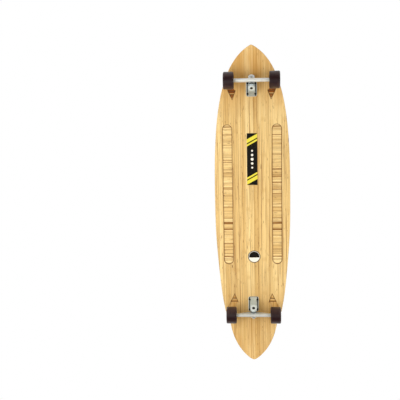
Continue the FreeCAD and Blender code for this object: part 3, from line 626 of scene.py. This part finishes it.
def patch_mask(tree, place, point, full, end, share):
    away = tree.nodes.new("ShaderNodeVectorMath")
    away.operation = "DISTANCE"
    plug(tree, away.inputs[0], place)
    away.inputs[1].default_value = point
    return span(tree, away.outputs["Value"], full, end, share, 0.0, True)


def metal_material(name, colour, dark, roughness, grain, metallic=1.0, strength=0.25, shade_height=None,
                   patches=(), specular=0.5, edge=0.0004):
    """Metal with a cast or plated grain. Above the height it is given for its flange it gets painted shade,
    patches are places of painted shade or painted highlight, edge is how far its edges are rounded."""
    material, tree, shader = new_material(name)
    place = object_place(tree)
    surface = use_group(tree, CAST, Place=place, Grain_Size=grain)
    tone = mixed(tree, span(tree, surface["Tone"], 0.30, 0.70), dark, colour)
    tone = mixed(tree, times(tree, surface["Pits"], 0.35), tone, dark)
    # painted shade in the flange's recess between the tongue and the rim
    if shade_height:
        tone = flange_shade(tree, tone, place, surface, shade_height)
    # patches of painted shade and painted highlight
    for point, full, end, share, patch in patches:
        tone = mixed(tree, patch_mask(tree, place, point, full, end, share), tone, patch)
    plug(tree, shader.inputs["Base Color"], tone)
    plug(tree, shader.inputs["Roughness"],
         span(tree, surface["Tone"], 0.25, 0.75, roughness + 0.08, roughness - 0.06))
    shader.inputs["Metallic"].default_value = metallic
    shader.inputs["Specular IOR Level"].default_value = specular
    bump(tree, shader, surface["Height"], strength, grain * 0.25, edge)
    return material


def turned_material(name, colour, dark, roughness):
    """Turned or ground steel: fine rings about the axle's direction."""
    material, tree, shader = new_material(name)
    place = object_place(tree)
    rings = noise(tree, mapped(tree, place, TURNED_RINGS), 1.0, 2.0, 0.5)
    tone = noise(tree, place, STEEL_TONES, 3.0, 0.55)
    plug(tree, shader.inputs["Base Color"], mixed(tree, span(tree, tone, 0.3, 0.7), dark, colour))
    plug(tree, shader.inputs["Roughness"], span(tree, rings, 0.25, 0.75, roughness - 0.06, roughness + 0.10))
    shader.inputs["Metallic"].default_value = 1.0
    bump(tree, shader, rings, 0.12, 0.00008)
    return material


def urethane_material(name, colour, dust, roughness, sheen):
    """Cast urethane: slight mottling, scuffed tread and a little dust."""
    material, tree, shader = new_material(name)
    place = object_place(tree)
    mottle = noise(tree, place, MOTTLE, 4.0, 0.6)
    scuff = noise(tree, mapped(tree, place, SCUFFS), 1.0, 3.0, 0.6)
    grit = noise(tree, place, GRIT, 2.0, 0.5)
    worn = times(tree, span(tree, scuff, 0.52, 0.72, 0.0, 1.0, True),
                 span(tree, mottle, 0.35, 0.65, 0.25, 0.8))
    plug(tree, shader.inputs["Base Color"], mixed(tree, times(tree, worn, 0.5), colour, dust))
    plug(tree, shader.inputs["Roughness"], span(tree, worn, 0.0, 1.0, roughness, roughness + 0.22))
    shader.inputs["Sheen Weight"].default_value = sheen
    height = math_node(tree, "MULTIPLY_ADD", grit, 0.5, times(tree, scuff, 0.5))
    bump(tree, shader, height, 0.14, 0.0003)
    return material


# A finish for every CAD node

def assign(name, material):
    mesh = nodes[name].data
    mesh.materials.clear()
    mesh.materials.append(material)


def dress_deck():
    lower_joint = DECK_UNDERSIDE + FACE_PLY
    core_underside = lower_joint + CROSS_PLY
    upper_joint = DECK_TOP - FACE_PLY
    bottom = bamboo_material("bamboo_bottom", 3.0, 0.021, contrast=0.92, seams=0.75, glue=(lower_joint,),
                             end_grain=(DECK_UNDERSIDE + 0.0003, DECK_UNDERSIDE + 0.0014, 0.72),
                             routed=0.80, prints=underside_prints)
    top = bamboo_material("bamboo_top", 41.0, 0.024, contrast=1.15, roughness=0.50, coat=0.0, knots=0.95,
                          tint=(1.17, 1.06, 0.93, 1), end_grain=(DECK_TOP - 0.0003, DECK_TOP - 0.0014, 0.55),
                          prints=top_prints)
    cross = bamboo_material("bamboo_crossband", 17.0, 0.036, along="X", contrast=1.15, seams=2.2, coat=0.1,
                            roughness=0.5, glue=(core_underside, upper_joint),
                            end_grain=(lower_joint + 0.0003, lower_joint + 0.0009, 0.92), routed=0.65)
    core = bamboo_material("bamboo_core", 29.0, 0.012, coat=0.1, roughness=0.5,
                           glue=(upper_joint - CROSS_PLY,), end_grain=(lower_joint, core_underside, 0.80))
    assign("deck_bottom_ply", bottom)
    assign("deck_lower_crossband", cross)
    assign("deck_core_ply", core)
    assign("deck_upper_crossband", cross)
    assign("deck_top_ply", top)


def truck_finishes():
    """The material of each piece of a truck."""
    # baseplate: painted shade on its flange, and patches of painted shade and painted highlight
    base = metal_material("cast_baseplate", (0.57, 0.69, 0.74, 1), (0.42, 0.52, 0.57, 1), 0.38, 0.0012,
                          metallic=0.35, shade_height=FLANGE_SHADE_HEIGHT, patches=BASEPLATE_SHADE_AND_HIGHLIGHT, edge=0.0014)
    # hanger: patches of painted shade
    bar = metal_material("cast_hanger", (0.84, 0.90, 0.91, 1), (0.69, 0.75, 0.76, 1), 0.38, 0.0012,
                         metallic=0.50, patches=HANGER_DARK_PATCHES, edge=0.0014)
    zinc = metal_material("zinc_steel", (0.76, 0.79, 0.80, 1), (0.56, 0.59, 0.60, 1), 0.30, 0.0006,
                          metallic=0.8, strength=0.12)
    black = metal_material("black_steel", (0.012, 0.010, 0.010, 1), (0.006, 0.006, 0.006, 1), 0.45, 0.0006,
                           metallic=0.0, strength=0.12, specular=0.2)
    rubber = urethane_material("bushing", (0.030, 0.029, 0.029, 1), (0.07, 0.066, 0.062, 1), 0.45, 0.15)
    cup = urethane_material("pivot_cup", (0.008, 0.008, 0.008, 1), (0.014, 0.013, 0.013, 1), 0.6, 0.0)
    riser = urethane_material("riser", (0.74, 0.64, 0.45, 1), (0.80, 0.74, 0.62, 1), 0.42, 0.0)
    return {
        "riser_pad": riser, "baseplate": base, "pivot_cup": cup, "kingpin": zinc, "base_washer": zinc,
        "cup_washer": zinc, "kingpin_nut": zinc, "hanger": bar, "axle": zinc, "mounting_screws": black,
        "lock_nuts": black, "speed_washers": zinc, "axle_nuts": zinc, "boardside_bushing": rubber,
        "roadside_bushing": rubber,
    }


def dress_wheels():
    ground = turned_material("bearing_steel", (0.68, 0.68, 0.69, 1), (0.52, 0.52, 0.53, 1), 0.22)
    pressed = turned_material("shield_steel", (0.50, 0.50, 0.51, 1), (0.36, 0.36, 0.37, 1), 0.34)
    tyre = urethane_material("wheel_urethane", (0.025, 0.0072, 0.0080, 1), (0.058, 0.029, 0.028, 1),
                             0.34, 0.03)
    core = urethane_material("wheel_core", (0.018, 0.017, 0.017, 1), (0.05, 0.048, 0.046, 1), 0.30, 0.0)
    wheel = {"tyre": tyre, "core": core, "outer_races": ground, "balls": ground, "shields": pressed}
    for truck in TRUCKS:
        assign(f"{truck}_bearing_spacers", ground)
        assign(f"{truck}_inner_races", ground)
        for hand in HANDS:
            for piece, material in wheel.items():
                assign(f"{truck}_{hand}_{piece}", material)


dress_deck()
finish = truck_finishes()
for truck in TRUCKS:
    for piece, material in finish.items():
        assign(f"{truck}_{piece}", material)
dress_wheels()


# Bushings: turned urethane rings that swell a little between their seats and lean with the hanger

# middle of the hanger's ring, as in the CAD model; its faces and the seats are given along the kingpin from it
RING_CENTRE = {"front": Vector((0, -0.661972, 0.081972)), "rear": Vector((0, 0.567972, 0.081972))}
RING_FACE = 0.005
BOARDSIDE_SEAT = -0.019
ROADSIDE_SEAT = 0.017
BUSHING_BORE = 0.0049
BUSHING_END = 0.0137
BUSHING_BELLY = 0.0145
BUSHING_SHOULDER = 0.30 * BUSHING_END + 0.70 * BUSHING_BELLY
BORE_CHAMFER = 0.0006
END_CHAMFER = 0.0010
END_ROUND = 0.0003
# half a bushing's outline: share of its length from an end to the middle, radius
BUSHING_OUTLINE = [(0.0, BUSHING_BORE + BORE_CHAMFER), (0.0, BUSHING_END - END_CHAMFER),
                   (0.02, BUSHING_END - END_ROUND), (0.08, BUSHING_END), (0.25, BUSHING_SHOULDER)]
BORE_OUTLINE = [(0.95, BUSHING_BORE), (0.5, BUSHING_BORE), (0.05, BUSHING_BORE)]
BUSHING_STEPS = 72


def make_bushing(truck, name, seat, face):
    """A ring from its seat on the deck's side of the joint to the hanger's face, about the kingpin."""
    centre = RING_CENTRE[truck]
    down = Vector((0, TRUCKS[truck], -1)).normalized()
    out = Vector((1, 0, 0))
    length = face - seat
    work = bmesh.new()
    far_half = [(1.0 - part, radius) for part, radius in reversed(BUSHING_OUTLINE)]
    profile = BUSHING_OUTLINE + [(0.5, BUSHING_BELLY)] + far_half + BORE_OUTLINE
    points = [work.verts.new(centre + down * (seat + length * part) + out * radius)
              for part, radius in profile]
    ring = [work.edges.new((points[i - 1], points[i])) for i in range(len(points))]
    bmesh.ops.spin(work, geom=points + ring, cent=centre, axis=down, angle=2 * math.pi, steps=BUSHING_STEPS,
                   use_merge=True)
    bmesh.ops.remove_doubles(work, verts=work.verts, dist=1e-6)
    bmesh.ops.recalc_face_normals(work, faces=work.faces)
    for surface in work.faces:
        surface.smooth = True
    mesh = bpy.data.meshes.new(f"{truck}_{name}_shape")
    work.to_mesh(mesh)
    work.free()
    piece = bpy.data.objects.new(f"{truck}_{name}_shape", mesh)
    bpy.context.scene.collection.objects.link(piece)
    mesh.materials.append(finish[name])
    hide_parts(f"{truck}_{name}")
    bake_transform(piece)


for truck in TRUCKS:
    make_bushing(truck, "boardside_bushing", BOARDSIDE_SEAT, -RING_FACE)
    make_bushing(truck, "roadside_bushing", ROADSIDE_SEAT, RING_FACE)


# Camera and studio

IMAGE = 400                       # pixels across the photograph
SENSOR = 36.0
FOCAL_PIXELS = 680.0
BELOW = 3.54                      # camera under the deck's face
FOOT = 0.265                      # point right under the camera, from the nose
TILT = math.radians(8.57)
ROLL = math.radians(0.57)
NOSE_PIXEL = 251.0                # the nose's column in the photograph
FLOOR_HALF = 60.0
SKY_BELOW = 0.38                  # the sky's light from below and from above
SKY_ABOVE = 0.92
# soft boxes: name, place, target, width and height, watts
LIGHTS = (("under_key", (-1.1, 0.05, -1.8), (0, 0.05, DECK_UNDERSIDE), (1.4, 1.6), 33),
          ("under_fill", (1.3, 0.15, -1.8), (0, 0.1, DECK_UNDERSIDE), (1.4, 1.6), 20),
          ("over_key", (-1.3, -1.2, 2.4), (0, 0, DECK_TOP), (1.6, 1.6), 20),
          ("over_fill", (1.8, 1.2, 2.0), (0, 0, DECK_TOP), (2.0, 2.0), 6))


def aim(obj, eye, look, up):
    """Places a camera or light at a point, facing along a direction, with a chosen picture-up."""
    back = -Vector(look).normalized()
    right = Vector(up).cross(back).normalized()
    true_up = back.cross(right)
    turn = Matrix((right, true_up, back)).transposed().to_4x4()
    obj.matrix_world = Matrix.Translation(eye) @ turn


def make_camera():
    data = bpy.data.cameras.new("camera")
    data.sensor_width = SENSOR
    data.lens = FOCAL_PIXELS * SENSOR / IMAGE
    camera = bpy.data.objects.new("camera", data)
    bpy.context.scene.collection.objects.link(camera)
    eye = Vector((0.0, NOSE + FOOT, DECK_UNDERSIDE - BELOW))
    # straight up, tilted along the board towards the tail, with the nose at the top of the picture
    look = Vector((0.0, math.sin(TILT), math.cos(TILT)))
    up = Vector((0.0, -math.cos(TILT), math.sin(TILT)))
    right = look.cross(up).normalized()
    up = Quaternion(look, ROLL) @ up
    right = Quaternion(look, ROLL) @ right
    # turned sideways until the nose lies on its column
    nose = Vector((0.0, NOSE, DECK_UNDERSIDE)) - eye
    wanted = (NOSE_PIXEL - IMAGE / 2) / FOCAL_PIXELS
    pan = math.atan(wanted) - math.atan2(nose.dot(right), nose.dot(look))
    look = Quaternion(up, pan) @ look
    aim(camera, eye, look, up)
    bpy.context.scene.camera = camera


def make_floor():
    """A floor that shows from above only."""
    work = bmesh.new()
    bmesh.ops.create_grid(work, x_segments=1, y_segments=1, size=FLOOR_HALF)
    mesh = bpy.data.meshes.new("floor")
    work.to_mesh(mesh)
    work.free()
    floor = bpy.data.objects.new("floor", mesh)
    bpy.context.scene.collection.objects.link(floor)
    material, tree, shader = new_material("floor")
    shader.inputs["Base Color"].default_value = (0.86, 0.86, 0.85, 1)
    shader.inputs["Roughness"].default_value = 0.7
    output = next(node for node in tree.nodes if node.type == "OUTPUT_MATERIAL")
    clear = tree.nodes.new("ShaderNodeBsdfTransparent")
    both = tree.nodes.new("ShaderNodeMixShader")
    tree.links.new(tree.nodes.new("ShaderNodeNewGeometry").outputs["Backfacing"], both.inputs["Fac"])
    tree.links.new(shader.outputs["BSDF"], both.inputs[1])
    tree.links.new(clear.outputs["BSDF"], both.inputs[2])
    tree.links.new(both.outputs["Shader"], output.inputs["Surface"])
    mesh.materials.append(material)
    floor.visible_shadow = False


def make_sky():
    """White behind the board, and light that is brighter from above than from below."""
    world = bpy.data.worlds.new("studio")
    bpy.context.scene.world = world
    world.use_nodes = True
    tree = world.node_tree
    tree.nodes.clear()
    output = tree.nodes.new("ShaderNodeOutputWorld")
    seen = tree.nodes.new("ShaderNodeBackground")
    seen.inputs["Color"].default_value = (1, 1, 1, 1)
    seen.inputs["Strength"].default_value = 1.0
    lit = tree.nodes.new("ShaderNodeBackground")
    lit.inputs["Color"].default_value = (1, 0.99, 0.97, 1)
    height = axes(tree, tree.nodes.new("ShaderNodeTexCoord").outputs["Generated"])[2]
    plug(tree, lit.inputs["Strength"], span(tree, height, -0.05, 0.25, SKY_BELOW, SKY_ABOVE, True))
    both = tree.nodes.new("ShaderNodeMixShader")
    tree.links.new(tree.nodes.new("ShaderNodeLightPath").outputs["Is Camera Ray"], both.inputs["Fac"])
    tree.links.new(lit.outputs["Background"], both.inputs[1])
    tree.links.new(seen.outputs["Background"], both.inputs[2])
    tree.links.new(both.outputs["Shader"], output.inputs["Surface"])


def soft_light(name, eye, target, size, power):
    data = bpy.data.lights.new(name, "AREA")
    data.shape = "RECTANGLE"
    data.size, data.size_y = size
    data.energy = power
    light = bpy.data.objects.new(name, data)
    bpy.context.scene.collection.objects.link(light)
    aim(light, Vector(eye), Vector(target) - Vector(eye), Vector((0, 1, 0)))


bpy.context.scene.view_settings.view_transform = "Standard"
make_camera()
make_floor()
make_sky()
for light in LIGHTS:
    soft_light(*light)
